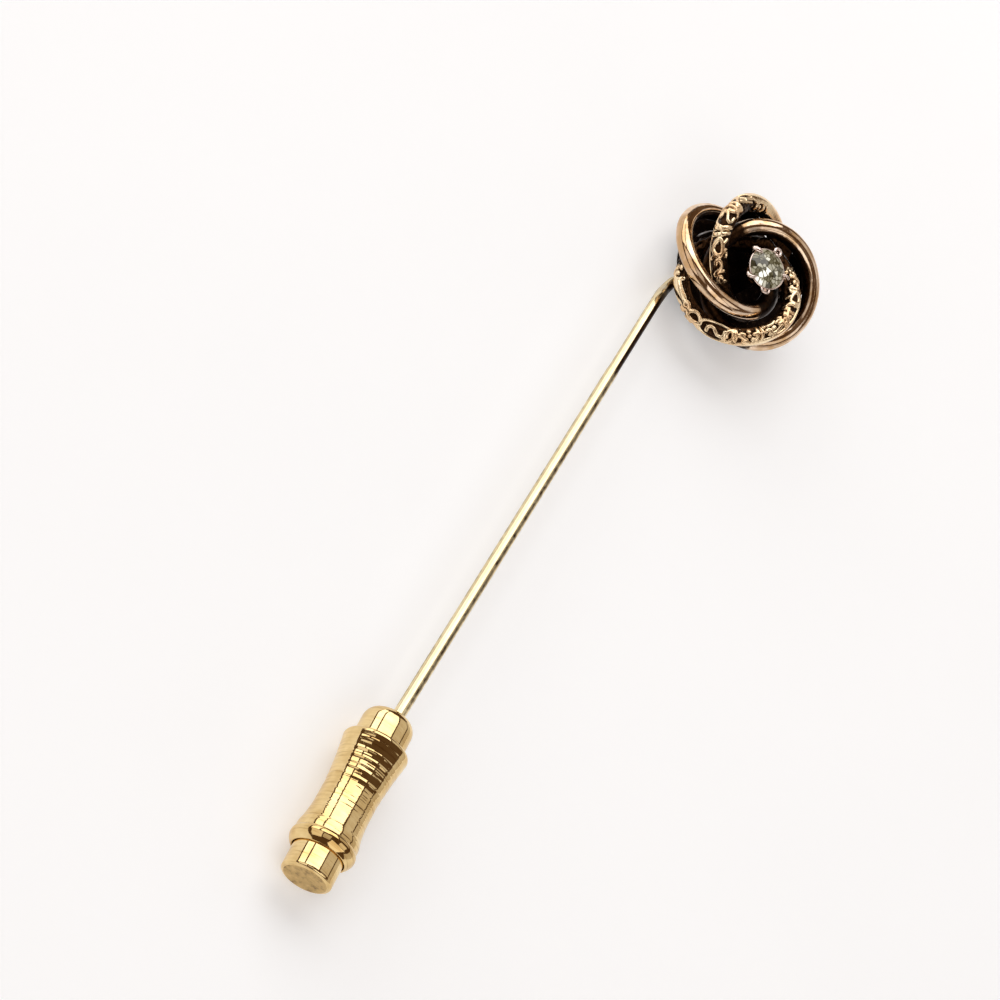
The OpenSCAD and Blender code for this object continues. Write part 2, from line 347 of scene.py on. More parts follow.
def dark_gold():
    """Near-black plate colour that stands in for the shade inside the knot, with a painted highlight of bright silver
    on one stretch of its round rim.
    """
    mat, nt, bsdf = nodes_of("dark_gold")
    n = noise(nt, 2.2, 6.0)
    c = ramp(nt, n.outputs["Fac"], [(0.30, (0.008, 0.004, 0.003)), (0.60, (0.022, 0.012, 0.008)), (0.80, (0.16, 0.10, 0.06))])
    # distance from the knot's own axis
    co = add(nt, "ShaderNodeTexCoord")
    mp = add(nt, "ShaderNodeMapping")
    lean = Matrix.Rotation(math.radians(-KNOT_LEAN), 3, "Y")
    centre = Vector((KNOT - MID) * MM)
    mp.vector_type = "TEXTURE"
    mp.inputs["Location"].default_value = tuple(centre)
    mp.inputs["Rotation"].default_value = tuple(lean.to_euler())
    nt.links.new(co.outputs["Object"], mp.inputs["Vector"])
    sep = add(nt, "ShaderNodeSeparateXYZ")
    nt.links.new(mp.outputs["Vector"], sep.inputs["Vector"])
    flat = add(nt, "ShaderNodeCombineXYZ")
    nt.links.new(sep.outputs["X"], flat.inputs["X"])
    nt.links.new(sep.outputs["Y"], flat.inputs["Y"])
    length = add(nt, "ShaderNodeVectorMath", operation="LENGTH")
    nt.links.new(flat.outputs["Vector"], length.inputs[0])
    near = add(nt, "ShaderNodeMath", operation="SUBTRACT")
    nt.links.new(length.outputs["Value"], near.inputs[0])
    near.inputs[1].default_value = 4.13 * MM
    absd = add(nt, "ShaderNodeMath", operation="ABSOLUTE")
    nt.links.new(near.outputs[0], absd.inputs[0])
    rim = ranged(nt, absd.outputs[0], 0.045 * MM, 0.075 * MM, 1.0, 0.0).outputs["Result"]
    # painted highlight: only one stretch of the rim is bright silver
    turned = add(nt, "ShaderNodeMath", operation="ARCTAN2")
    nt.links.new(sep.outputs["Y"], turned.inputs[0])
    nt.links.new(sep.outputs["X"], turned.inputs[1])
    off = add(nt, "ShaderNodeMath", operation="SUBTRACT")
    nt.links.new(turned.outputs[0], off.inputs[0])
    off.inputs[1].default_value = math.radians(138.0 + KNOT_TURN)
    absa = add(nt, "ShaderNodeMath", operation="ABSOLUTE")
    nt.links.new(off.outputs[0], absa.inputs[0])
    stretch = ranged(nt, absa.outputs[0], math.radians(9.0), math.radians(15.0), 1.0, 0.0).outputs["Result"]
    painted_highlight = add(nt, "ShaderNodeMath", operation="MULTIPLY")
    nt.links.new(rim, painted_highlight.inputs[0])
    nt.links.new(stretch, painted_highlight.inputs[1])
    color = mix_color(nt, painted_highlight.outputs[0], c.outputs["Color"], (0.94, 0.94, 0.96))
    nt.links.new(color, bsdf.inputs["Base Color"])
    metal = ranged(nt, painted_highlight.outputs[0], 0.0, 1.0, 1.0, 0.0)
    nt.links.new(metal.outputs["Result"], bsdf.inputs["Metallic"])
    r = ranged(nt, n.outputs["Fac"], 0.3, 0.8, 0.60, 0.38)
    nt.links.new(r.outputs["Result"], bsdf.inputs["Roughness"])
    b = add(nt, "ShaderNodeBump")
    b.inputs["Strength"].default_value = 0.4
    b.inputs["Distance"].default_value = 0.03 * MM
    nt.links.new(n.outputs["Fac"], b.inputs["Height"])
    nt.links.new(b.outputs["Normal"], bsdf.inputs["Normal"])
    return mat


MAT["dark_gold"] = dark_gold()


def clear_stone():
    """Old-cut stone: each facet cell has a painted tone, from dark olive to cream, for the glints and dark reflections
    in the stone.
    """
    mat, nt, bsdf = nodes_of("clear_stone")
    at = add(nt, "ShaderNodeAttribute", attribute_name="facet_light")
    c = ramp(nt, at.outputs["Fac"], [(0.0, (0.016, 0.011, 0.004)), (0.22, (0.125, 0.108, 0.052)), (0.48, (0.42, 0.39, 0.265)),
                                     (0.74, (0.78, 0.75, 0.60)), (1.0, (1.0, 0.99, 0.92))])
    n = noise(nt, 2.6, 3.0)
    shade = ranged(nt, n.outputs["Fac"], 0.3, 0.7, 0.86, 1.10)
    tinted = add(nt, "ShaderNodeVectorMath", operation="SCALE")
    nt.links.new(c.outputs["Color"], tinted.inputs[0])
    nt.links.new(shade.outputs["Result"], tinted.inputs["Scale"])
    nt.links.new(tinted.outputs[0], bsdf.inputs["Base Color"])
    # painted glow: the brightest cells give light of their own, standing in for light that the pavilion sends back
    painted_glow = ramp(nt, at.outputs["Fac"], [(0.35, (0.0, 0.0, 0.0)), (0.70, (0.10, 0.10, 0.085)), (0.90, (0.34, 0.35, 0.33)), (1.0, (0.66, 0.69, 0.70))])
    nt.links.new(painted_glow.outputs["Color"], bsdf.inputs["Emission Color"])
    bsdf.inputs["Emission Strength"].default_value = 1.0
    bsdf.inputs["Roughness"].default_value = 0.04
    bsdf.inputs["IOR"].default_value = 1.62
    bsdf.inputs["Transmission Weight"].default_value = 0.06
    return mat


MAT["clear_stone"] = clear_stone()


def floor_material():
    mat, nt, bsdf = nodes_of("floor_pale")
    n = noise(nt, 0.02, 3.0)
    c = ramp(nt, n.outputs["Fac"], [(0.3, (0.86, 0.86, 0.86)), (0.7, (0.88, 0.88, 0.88))])
    nt.links.new(c.outputs["Color"], bsdf.inputs["Base Color"])
    bsdf.inputs["Roughness"].default_value = 0.9
    bsdf.inputs["Specular IOR Level"].default_value = 0.1
    bsdf.inputs["Emission Color"].default_value = (0.97, 0.98, 1.0, 1.0)
    bsdf.inputs["Emission Strength"].default_value = 0.28
    return mat


def finish_piece(obj, body, slot, *replaced, material=None):
    obj.data.materials.clear()
    obj.data.materials.append(MAT[material or slot])
    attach(obj, body)
    if replaced:
        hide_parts(*replaced)
    return obj


# ------------------------------------------------------------------ stem
def rounded(corners, radii):
    """A polyline with an arc of the given radius at each inner corner."""
    out = [np.array(corners[0], float)]
    for k in range(1, len(corners) - 1):
        p, a, b = (np.array(corners[j], float) for j in (k, k - 1, k + 1))
        da, db = (a - p) / np.linalg.norm(a - p), (b - p) / np.linalg.norm(b - p)
        half = math.acos(np.clip(da @ db, -1, 1)) / 2
        cut = radii[k - 1] / math.tan(half)
        p0, p1 = p + da * cut, p + db * cut
        mid = (da + db) / np.linalg.norm(da + db)
        c = p + mid * radii[k - 1] / math.sin(half)
        v0, v1 = p0 - c, p1 - c
        swing = math.acos(np.clip(v0 @ v1 / (np.linalg.norm(v0) * np.linalg.norm(v1)), -1, 1))
        for s in np.linspace(0, 1, 14):
            out.append(c + (math.sin((1 - s) * swing) * v0 + math.sin(s * swing) * v1) / math.sin(swing))
    out.append(np.array(corners[-1], float))
    return np.array(out)


def even(path, step):
    run = np.r_[0, np.cumsum(np.linalg.norm(np.diff(path, axis=0), axis=1))]
    at = np.arange(0, run[-1] + step / 2, step)
    at[-1] = min(at[-1], run[-1])
    return np.stack([np.interp(at, run, path[:, k]) for k in range(3)], 1), at, run[-1]


def make_stem():
    line = rounded([(0, 0, AXIS_H), (54.60, 0, AXIS_H), (56.90, -0.70, 0.75), (58.51, -1.10, 0.425), (63.90, -7.30, 0.425)],
                   [5.4, 1.6, 1.5])
    pts, at, total = even(line, 0.10)
    for _ in range(6):
        pts[1:-1] = 0.25 * pts[:-2] + 0.5 * pts[1:-1] + 0.25 * pts[2:]
    # [distance from the point, radius]
    size = np.array([
        [0.0, 0.05], [0.06, 0.075], [3.0, 0.40], [7.0, 0.447], [12.6, 0.475],
        [46.35, 0.475], [46.55, 0.468], [46.75, 0.438], [47.0, 0.432], [51.0, 0.430], [54.0, 0.430],
        [56.2, 0.445], [57.6, 0.42], [58.6, 0.405], [total - 0.42, 0.40], [total - 0.16, 0.36], [total - 0.04, 0.24], [total, 0.10]])
    r = np.interp(at, size[:, 0], size[:, 1])
    nick = np.zeros_like(at)
    for where, deep, wide in ((29.5, 0.014, 0.15), (26.8, 0.008, 0.15)):
        nick += deep * np.exp(-((at - where) / wide) ** 2)
    sides = 40
    verts, faces = tube(pts, r, sides)
    ang = np.arange(sides) / sides * 2 * math.pi
    # a nick is on one side only
    ring = verts[:len(pts) * sides].reshape(len(pts), sides, 3)
    centre = pts[:, None, :]
    side_share = np.clip(np.cos(ang - 1.2), 0, 1) ** 4
    ring += (centre - ring) * (nick[:, None] * side_share[None, :] / 0.475)[..., None]
    ring += (ring - centre) * (waves(at, 30.0, 14, 0.0022, 3) * smooth_step(3, 6, at))[:, None, None]
    verts[:len(pts) * sides] = ring.reshape(-1, 3)
    # the neck by the solder is satin; painted shade: from 12 mm on, a dark band along the shank's low -Y side and a
    # thin dark line on its +Y flank, and from the step on the low side darker still
    dull = np.repeat(0.30 * smooth_step(53.6, 55.6, at), sides)
    painted_side_shade = np.zeros(len(verts))
    out = (verts[:len(pts) * sides] - np.repeat(pts, sides, axis=0))
    out /= np.maximum(np.linalg.norm(out, axis=1), 1e-9)[:, None]
    low = -0.943 * out[:, 1] + 0.331 * out[:, 2]
    band = smooth_step(0.20, 0.44, low) * (1 - 0.35 * smooth_step(0.60, 0.95, low)) + 0.75 * smooth_step(0.62, 0.86, -low)
    neck = smooth_step(0.08, 0.36, low)
    painted_side_shade[:len(pts) * sides] = (0.54 * band * np.repeat(smooth_step(11.0, 14.0, at), sides)
                               + 0.46 * neck * np.repeat(smooth_step(45.8, 47.6, at), sides))
    painted_side_shade[:len(pts) * sides] += (np.clip(nick / 0.045, 0, 0.25)[:, None] * side_share[None, :]).ravel()
    dull = np.r_[dull, 0.0, 0.3]
    return finish_piece(new_object("stem_wire", verts - MID, faces, values={"patina_and_shade": painted_side_shade, "dull": dull}), "pin", "pale_gold", "stem")


# ------------------------------------------------------------------ rings
def arc(cx, cy, r, a0, a1, n=14, squash=1.0):
    a = np.radians(np.linspace(a0, a1, n))
    return np.stack([cx + r * np.cos(a), cy + squash * r * np.sin(a)], 1)


def coil(cx, cy, r0, r1, a0, a1, n=22):
    a = np.radians(np.linspace(a0, a1, n))
    r = np.linspace(r0, r1, n)
    return np.stack([cx + r * np.cos(a), cy + r * np.sin(a)], 1)


# Motifs: each stroke is (points in mm, half width in mm). x runs along the ring, y across it.
def motif_cartouche():
    return [
        (arc(0, 0, 0.98, 0, 360, 40, 0.74), 0.075),
        (np.array([[-0.50, -0.16], [-0.46, 0.14], [-0.30, 0.27], [-0.12, 0.20], [0.0, 0.0], [0.12, -0.20], [0.30, -0.27], [0.46, -0.14], [0.50, 0.16]]), 0.080),
    ]


def motif_floret():
    out = [(arc(0, 0, 0.02, 0, 360, 6), 0.075)]
    for k in range(5):
        a = math.radians(90 + 72 * k)
        x, y = math.cos(a), math.sin(a)
        out.append((np.array([[0.30 * x, 0.30 * y], [0.44 * x, 0.44 * y]]), 0.098))
    return out


def motif_leaf():
    return [
        (np.vstack([arc(-0.10, -0.75, 0.85, 20, 88, 12), [[-0.05, 0.55]], arc(0.0, -0.05, 0.5, 110, 200, 10)]), 0.10),
        (np.array([[0.02, -0.42], [0.10, 0.0], [0.02, 0.42]]), 0.075),
        (arc(-0.55, -0.45, 0.07, 0, 360, 8), 0.05),
    ]


def motif_loop():
    t = np.linspace(0, 1, 26)
    x = -0.08 + 0.40 * np.sin(2 * math.pi * t) * (1 - 0.35 * np.cos(2 * math.pi * t))
    y = 0.34 * np.cos(2 * math.pi * t) + 0.06
    return [
        (np.stack([x, y], 1), 0.095),
        (np.vstack([[[-0.30, -0.34]], arc(-0.42, -0.52, 0.20, 60, -150, 12)]), 0.085),
        (np.array([[0.10, -0.36], [0.34, -0.62]]), 0.08),
    ]


def motif_plaque():
    return [
        (np.array([[-0.70, -0.04], [0.16, 0.04]]), 0.27),
        (arc(0.62, 0.10, 0.20, 0, 360, 14), 0.11),
        (arc(0.62, -0.30, 0.08, 0, 360, 8), 0.08),
    ]


def motif_hook():
    return [
        (np.vstack([coil(0, 0.05, 0.09, 0.34, 60, -170, 20), [[-0.42, 0.42]]]), 0.095),
        (np.array([[0.36, -0.34], [0.46, 0.02], [0.40, 0.40]]), 0.075),
    ]


def motif_bars():
    return [
        (np.array([[-0.30, -0.62], [-0.16, 0.0], [-0.26, 0.60]]), 0.095),
        (np.array([[0.04, -0.60], [0.16, 0.0], [0.06, 0.62]]), 0.085),
        (np.array([[-0.16, 0.0], [0.16, 0.0]]), 0.07),
    ]


def motif_scroll():
    return [
        (np.vstack([coil(-0.42, -0.02, 0.08, 0.24, 150, -80, 16), [[0.05, -0.34], [0.45, -0.22]],
                    arc(0.48, 0.02, 0.24, -80, 120, 10)]), 0.09),
        (np.array([[-0.20, 0.40], [0.10, 0.34], [0.36, 0.44]]), 0.10),
        (arc(-0.48, 0.48, 0.07, 0, 360, 8), 0.07),
        (arc(0.02, 0.02, 0.07, 0, 360, 8), 0.07),
    ]


def motif_petal():
    return [
        (arc(0.0, 0.0, 0.46, 0, 360, 26, 1.18), 0.085),
        (np.array([[0.02, -0.20], [0.05, 0.16]]), 0.05),
    ]


MOTIF = {"cartouche": motif_cartouche, "floret": motif_floret, "leaf": motif_leaf, "loop": motif_loop,
         "plaque": motif_plaque, "hook": motif_hook, "bars": motif_bars, "scroll": motif_scroll, "petal": motif_petal}

# Where each motif sits: name, degrees along the ring, degrees round the tube, turn, size, mirrored
LAYOUT_BOTTOM = [
    ("hook", 289, 40, 20, 1.30, 1), ("plaque", 311, 40, 0, 1.38, 0), ("loop", 338, 44, 10, 1.36, 0),
    ("cartouche", 1, 48, 8, 1.30, 0), ("leaf", 20, 62, 0, 1.28, 0), ("floret", 34, 66, 0, 1.45, 0),
    ("bars", 46, 74, -10, 1.15, 0), ("scroll", 61, 76, 5, 1.30, 0), ("floret", 77, 80, 20, 1.3, 0),
    ("leaf", 89, 84, 0, 1.2, 1), ("loop", 104, 76, 150, 1.25, 0), ("hook", 121, 70, -20, 1.35, 0),
    ("floret", 136, 84, 0, 1.1, 0), ("scroll", 150, 92, 0, 1.1, 1), ("leaf", 164, 94, 0, 1.1, 0),
    ("cartouche", 182, 94, 0, 1.1, 1), ("floret", 200, 94, 0, 1.1, 0), ("bars", 213, 94, 10, 1.0, 0),
    ("scroll", 228, 92, 0, 1.1, 0), ("loop", 245, 84, 0, 1.1, 1), ("leaf", 260, 70, 0, 1.1, 0),
    ("floret", 275, 56, 0, 1.2, 0),
]
LAYOUT_TOP = [
    ("hook", 153, 40, 10, 1.25, 1), ("hook", 138, 30, 200, 1.35, 0), ("loop", 122, 30, 190, 1.38, 0),
    ("bars", 108, 32, 14, 1.45, 0), ("cartouche", 91, 34, 84, 1.30, 0), ("leaf", 74, 36, 10, 1.42, 1),
    ("bars", 60, 58, 60, 1.05, 0), ("petal", 34, 132, 10, 1.15, 0),
    ("floret", 354, 112, 0, 1.2, 0), ("scroll", 338, 100, 0, 1.1, 0),
    ("loop", 321, 96, 0, 1.1, 1), ("leaf", 305, 92, 0, 1.1, 0), ("cartouche", 287, 92, 0, 1.1, 0),
    ("floret", 269, 92, 0, 1.1, 0), ("bars", 256, 92, 0, 1.1, 0), ("scroll", 241, 92, 0, 1.1, 1),
    ("hook", 225, 92, 0, 1.1, 0), ("floret", 211, 90, 0, 1.1, 0), ("leaf", 197, 88, 0, 1.1, 1),
    ("loop", 182, 70, 0, 1.1, 0), ("plaque", 168, 56, 0, 1.1, 1),
]
# Where the chasing starts and ends round the tube, and how deep its ground is: [degrees along, first, last, mm]
EDGE_BOTTOM = [[0, -34, 128, 0.21], [10, -16, 130, 0.21], [24, 10, 134, 0.21], [45, 24, 138, 0.21], [80, 26, 158, 0.21],
               [105, 16, 160, 0.21], [128, -8, 140, 0.21], [146, -18, 160, 0.05], [200, -18, 160, 0.05], [235, -18, 150, 0.16],
               [262, -40, 136, 0.21], [300, -62, 128, 0.21], [345, -56, 126, 0.21], [360, -34, 128, 0.21]]
EDGE_TOP = [[0, 130, 190, 0.12], [19, 150, 196, 0.14], [24, 100, 196, 0.18], [45, 98, 190, 0.20], [55, 20, 140, 0.21], [66, -50, 120, 0.21],
            [75, -62, 116, 0.21], [155, -66, 120, 0.21], [200, -25, 160, 0.21], [285, 0, 160, 0.16], [305, 10, 160, 0.05],
            [335, 60, 170, 0.05], [360, 130, 190, 0.12]]
# Painted dark reflections: darkened patches of the plain rings; and solder in the crossings: [degrees along, round,
# half width along, round, value]
PAINTED_DARK_REFLECTIONS = {
    "ring_left": [[80, 6, 17, 15, 0.50], [104, 30, 16, 11, 0.46], [344, 66, 26, 13, 0.46], [28, 98, 26, 10, 0.48],
                  [60, 36, 12, 7, 0.38], [122, 60, 12, 8, 0.42], [112, 100, 26, 14, 0.50]],
    "ring_right": [[48, 104, 42, 8, 0.46], [100, 118, 26, 10, 0.50], [8, 88, 24, 7, 0.42], [130, 72, 10, 9, 0.40],
                   [330, 40, 26, 12, 0.42], [138, 110, 14, 30, 0.52]],
}
SOLDER = {
    "ring_top": [[319, 82, 9, 38, 0.40], [335, -165, 9, 45, 0.25]],
    "ring_bottom": [[175, 72, 10, 40, 0.42]],
}


def stroke_distance(x, y, line):
    """Distance from each point to a polyline."""
    best = np.full(x.shape, 1e9)
    for (ax, ay), (bx, by) in zip(line[:-1], line[1:]):
        dx, dy = bx - ax, by - ay
        long2 = dx * dx + dy * dy
        if long2 < 1e-12:
            d = np.hypot(x - ax, y - ay)
        else:
            s = np.clip(((x - ax) * dx + (y - ay) * dy) / long2, 0, 1)
            d = np.hypot(x - ax - s * dx, y - ay - s * dy)
        best = np.minimum(best, d)
    return best


def raised_pattern(u, v, spec, layout, seed):
    """0 in the ground of the chasing, 1 on top of its strokes."""
    mid_r = spec["r"] - 0.10
    tube_r = spec["d"] / 2
    s, w = u * mid_r, v * tube_r
    around = 2 * math.pi * mid_r
    out = np.zeros(u.shape)
    g = np.random.default_rng(seed)
    # punched grains in the ground
    for _ in range(430):
        at_s, at_w = g.uniform(0, around), g.uniform(-0.9, 2.6)
        r, high = g.uniform(0.08, 0.15), g.uniform(0.08, 0.50)
        ds = (s - at_s + around / 2) % around - around / 2
        dw = w - at_w
        near = (np.abs(ds) < 0.16) & (np.abs(dw) < 0.16)
        d = np.hypot(ds[near], dw[near])
        out[near] = np.maximum(out[near], high * (1 - smooth_step(r * 0.5, r * 1.3, d)))
    for name, at_u, at_v, rot, size, mirror in layout:
        ds = (s - math.radians(at_u) * mid_r + around / 2) % around - around / 2
        dw = w - math.radians(at_v) * tube_r
        near = (np.abs(ds) < 1.8) & (np.abs(dw) < 1.8)
        a = math.radians(rot)
        x = (ds[near] * math.cos(a) + dw[near] * math.sin(a)) / size
        y = (-ds[near] * math.sin(a) + dw[near] * math.cos(a)) / size
        if mirror:
            x = -x
        top = np.zeros(x.shape)
        for line, half in MOTIF[name]():
            half = half * 1.42
            d = stroke_distance(x, y, line)
            top = np.maximum(top, (1 - smooth_step(half - 0.04, half + 0.045, d)) * (1 - 0.30 * np.clip(d / half, 0, 1) ** 2))
        out[near] = np.maximum(out[near], top)
    return out


def make_ring(name, side, spec, slot, layout=None, edge=None, bright=(300, 140), nu=420, nv=72, seed=0):
    u = np.linspace(0, 2 * math.pi, nu, endpoint=False)
    v = np.linspace(0, 2 * math.pi, nv, endpoint=False)
    uu, vv = np.meshgrid(u, v, indexing="ij")
    tube_r = spec["d"] / 2
    size = np.full(uu.shape, tube_r)
    # hand-made: the tube is never quite even, and stays inside its drawn size
    soft = waves(uu, 2 * math.pi, 9, 0.006, seed) + waves(vv, 2 * math.pi, 3, 0.004, seed + 1)
    size -= np.clip(soft + 0.012, 0, 0.04)
    wrapped = (vv + math.pi / 2) % (2 * math.pi) - math.pi / 2
    if layout:
        top = raised_pattern(uu, wrapped, spec, layout, seed)
        table = np.radians(np.array(edge, float))
        first, last = np.interp(uu, table[:, 0], table[:, 1]), np.interp(uu, table[:, 0], table[:, 2])
        depth = np.interp(np.degrees(uu), [row[0] for row in edge], [row[3] for row in edge])
        zone = smooth_step(-0.12, 0.12, wrapped - first) * (1 - smooth_step(-0.2, 0.3, wrapped - last))
        size -= depth * zone * (1 - top)
        patina_and_shade = np.clip(zone * (1 - top), 0, 1)
        # the tube's inner side past the chasing is darkened: partly tarnish, partly painted shade
        patina_and_shade = np.maximum(patina_and_shade, smooth_step(last - 0.30, last + 0.10, wrapped))
    else:
        patina_and_shade = np.zeros(uu.shape)
    m, c = ring_frame(side, spec)

    def patch(rows):
        out = np.zeros(uu.shape)
        for at_u, at_v, half_u, half_v, value in rows:
            du = (np.degrees(uu) - at_u + 180) % 360 - 180
            dv = (np.degrees(vv) - at_v + 180) % 360 - 180
            out = np.maximum(out, value * np.exp(-(du / half_u) ** 2 - (dv / half_v) ** 2))
        return out

    size += patch(SOLDER.get(name, []))
    # painted dark reflections: the listed patches of the plain rings are darkened
    patina_and_shade = np.maximum(patina_and_shade, patch(PAINTED_DARK_REFLECTIONS.get(name, [])))
    rad = spec["r"] + size * np.cos(vv)
    local = np.stack([rad * np.cos(uu), rad * np.sin(uu), size * np.sin(vv)], -1)
    normal = np.stack([np.cos(vv) * np.cos(uu), np.cos(vv) * np.sin(uu), np.sin(vv)], -1)
    pos = local @ m.T + c
    nrm = normal @ m.T
    # painted shade, partly tarnish: the inner side of the tube and the stretch that dives under its neighbours are
    # darkened, less where the tube faces down
    under = smooth_step(0.35, 0.95, -nrm[..., 2])
    deg = np.degrees(uu)
    lo, hi = bright
    dive = smooth_step(hi - 9, hi + 13, deg) * (1 - smooth_step(lo - 16, lo + 6, deg))
    inner = smooth_step(0.34, 0.72, -np.cos(vv)) if not layout else smooth_step(0.80, 1.0, -np.cos(vv))
    shade_and_tarnish = np.maximum(dive, inner) * (1 - 0.72 * under)
    patina_and_shade = np.maximum(patina_and_shade, shade_and_tarnish)
    verts = in_knot(pos.reshape(-1, 3))
    return new_object(name, verts, grid_faces(nu, nv), values={"patina_and_shade": patina_and_shade, "dull": 0.30 * (nrm[..., 2] < -0.2)})


# ------------------------------------------------------------------ setting and stone
def to_stone(points):
    a = math.radians(STONE_DIR)
    return in_knot(np.asarray(points, float) + np.array([STONE_OFF * math.cos(a), STONE_OFF * math.sin(a), 0]))


CLAWS = [11, 82, 149, 229, 288]
BASKET_Z = STONE_H - 1.85


def merge(parts):
    verts, faces, n = [], [], 0
    for v, f in parts:
        verts.append(v)
        faces += [[k + n for k in face] for face in f]
        n += len(v)
    return np.concatenate(verts), faces


def claw_top(kind):
    """What each claw's end is bent into. Rows of (out from the stone's middle, sideways, height), radius, squash."""
    r, z = STONE_D / 2, STONE_H
    if kind == "blade":
        pts = [(r + 0.42, 0.24, z + 0.05), (r + 0.18, 0.10, z + 0.22), (r - 0.10, -0.07, z + 0.29), (r - 0.34, -0.21, z + 0.23)]
        return pts, [0.13, 0.22, 0.20, 0.09], 0.60
    if kind == "eye":
        a = np.radians(np.linspace(-200, 150, 22))
        pts = [(r + 0.16 + 0.27 * math.cos(k), 0.27 * math.sin(k), z + 0.20) for k in a]
        return pts, [0.10] + [0.125] * 20 + [0.10], 1.0
    if kind == "hook":
        pts = [(r - 0.20, 0.26, z + 0.22), (r + 0.10, 0.28, z + 0.26), (r + 0.38, 0.14, z + 0.20), (r + 0.44, -0.08, z + 0.10),
               (r + 0.26, -0.26, z + 0.04)]
        return pts, [0.08, 0.13, 0.155, 0.15, 0.11], 1.0
    if kind == "bar":
        return [(r - 0.24, 0.0, z + 0.22), (r + 0.12, 0.04, z + 0.25), (r + 0.50, -0.06, z + 0.12)], [0.08, 0.125, 0.11], 1.0
    a = np.radians(np.linspace(-100, 100, 16))
    pts = [(r + 0.08 + 0.34 * math.cos(k), 0.36 * math.sin(k), z - 0.02 + 0.05 * math.cos(k)) for k in a]
    return pts, [0.08] + [0.095] * 14 + [0.08], 1.0


CLAW_KIND = ["bar", "eye", "blade", "hook", "loop"]


def make_setting():
    parts = []
    for k, a in enumerate(CLAWS):
        c, s = math.cos(math.radians(a)), math.sin(math.radians(a))
        turned = np.array([[c, s, 0], [-s, c, 0], [0, 0, 1.0]])
        # the wire from the cup up to the stone's edge
        top_r = STONE_D / 2 + 0.17
        path = hermite([(0.60, 0, BASKET_Z + 0.12), (1.05, 0, BASKET_Z + 0.75), (top_r - 0.10, 0, STONE_H - 0.35),
                        (top_r + 0.02, 0, STONE_H + 0.02), (top_r - 0.02, 0, STONE_H + 0.16)], 24)
        radii = np.interp(np.linspace(0, 1, 24), [0, 0.55, 0.72, 0.92, 1.0], [0.17, 0.18, 0.19, 0.15, 0.05])
        v, f = tube(path, radii, 20)
        parts.append((v @ turned, f))
        pts, radii, squash = claw_top(CLAW_KIND[k])
        n = 40
        path = hermite(pts, n)
        radii = np.interp(np.linspace(0, 1, n), np.linspace(0, 1, len(radii)), radii)
        ends = np.minimum(np.arange(n), np.arange(n)[::-1])
        radii = radii * np.sqrt(np.clip((ends + 0.35) / 3.0, 0, 1))
        v, f = tube(path, radii, 18, flat=np.full(n, squash))
        parts.append((v @ turned, f))
    # cup under the claws
    prof = np.array([[0.02, BASKET_Z + 0.02], [0.74, BASKET_Z + 0.02], [0.84, BASKET_Z + 0.42], [0.62, BASKET_Z + 0.44], [0.02, BASKET_Z + 0.40]])
    n = 40
    a = np.linspace(0, 2 * math.pi, n, endpoint=False)
    v = np.stack([np.outer(np.cos(a), prof[:, 0]), np.outer(np.sin(a), prof[:, 0]), np.tile(prof[:, 1], (n, 1))], -1).reshape(-1, 3)
    parts.append((v, grid_faces(n, len(prof))))
    # thin seat round the stone, wider on one side
    a, b = np.meshgrid(np.linspace(0, 2 * math.pi, 120, endpoint=False), np.linspace(0, 2 * math.pi, 12, endpoint=False), indexing="ij")
    wide = 0.060 + 0.060 * smooth_step(-0.2, 0.9, np.cos(a - math.radians(40)))
    rr = STONE_D / 2 + 0.02 + wide * np.cos(b)
    v = np.stack([rr * np.cos(a), rr * np.sin(a), STONE_H - 0.05 + 0.085 * np.sin(b)], -1).reshape(-1, 3)
    parts.append((v, grid_faces(120, 12)))
    v, f = merge(parts)
    # painted shade: the claw wires and cup are darker below the stone
    patina_and_shade = 1 - smooth_step(STONE_H - 0.50, STONE_H - 0.10, v[:, 2])
    obj = new_object("claw_basket", to_stone(v), f, values={"patina_and_shade": patina_and_shade})
    return finish_piece(obj, "pin", "claw_metal", "claw_setting")


# Painted glints and dark reflections of the stone: [out from the middle (stone radius 1), direction in degrees, tone
# 0..1]
GLINTS = [[0.00, 0, 0.55], [0.48, 253, 1.0], [0.30, 262, 0.98], [0.62, 246, 0.96], [0.97, 252, 0.97], [0.90, 262, 0.95],
          [0.84, 278, 0.72], [0.46, 127, 0.84], [0.57, 204, 0.62], [0.22, 45, 0.58], [0.45, 357, 0.78], [0.68, 316, 0.60],
          [0.30, 160, 0.16], [0.45, 178, 0.10], [0.84, 198, 0.08], [0.70, 182, 0.14], [0.66, 152, 0.30], [0.44, 332, 0.10],
          [0.88, 296, 0.16], [0.60, 290, 0.34], [0.72, 90, 0.30], [0.62, 60, 0.22], [0.74, 25, 0.26], [0.90, 130, 0.50],
          [0.92, 160, 0.52], [0.92, 100, 0.46], [0.94, 60, 0.44], [0.94, 20, 0.38], [0.94, 345, 0.42], [0.93, 320, 0.52],
          [0.92, 220, 0.50], [0.70, 225, 0.34]]


